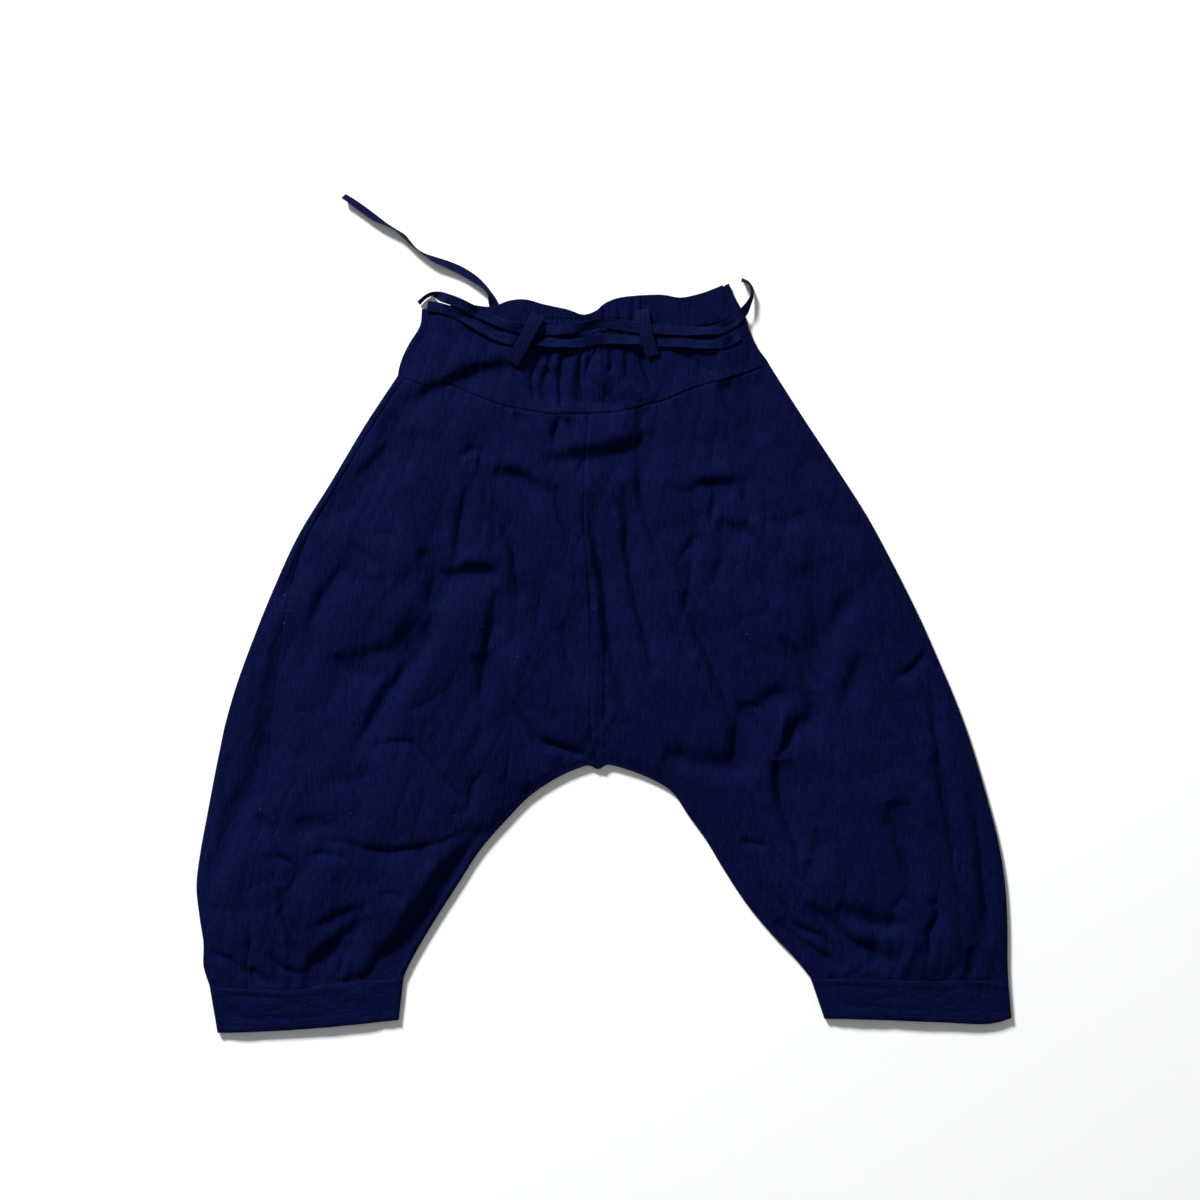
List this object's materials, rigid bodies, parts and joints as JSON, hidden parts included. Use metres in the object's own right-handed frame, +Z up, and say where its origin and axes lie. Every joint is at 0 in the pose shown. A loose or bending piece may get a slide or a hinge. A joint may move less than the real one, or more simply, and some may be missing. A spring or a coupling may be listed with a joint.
{
  "type": "balloon trousers",
  "caption": "Cotton balloon trousers laid flat, back upwards: shaped yoke ruched over elastic, belt loops with a narrow tie, full creased legs gathered into plain cuffs.",
  "frame": {"origin": "middle of the garment's box, on the surface it lies on", "axes": "+Z up from that surface, +Y towards the waist, +X towards the right leg as seen from above"},
  "size_m": [0.8136, 0.8381, 0.0199],
  "materials": {
    "cotton": "matt dark navy plain-weave cotton, lightly crinkled",
    "tie": "matt dark navy flat cotton tape"
  },
  "bodies": {
    "root": {"back_yoke": "cotton", "front_yoke": "cotton", "back_leg_left": "cotton", "back_leg_right": "cotton", "front_leg_left": "cotton", "front_leg_right": "cotton", "cuff_left": "cotton", "cuff_right": "cotton", "belt_loop_left": "cotton", "belt_loop_right": "cotton", "tie_upper": "tie", "tie_lower": "tie", "tie_loose_end": "tie"}
  },
  "joints": []
}
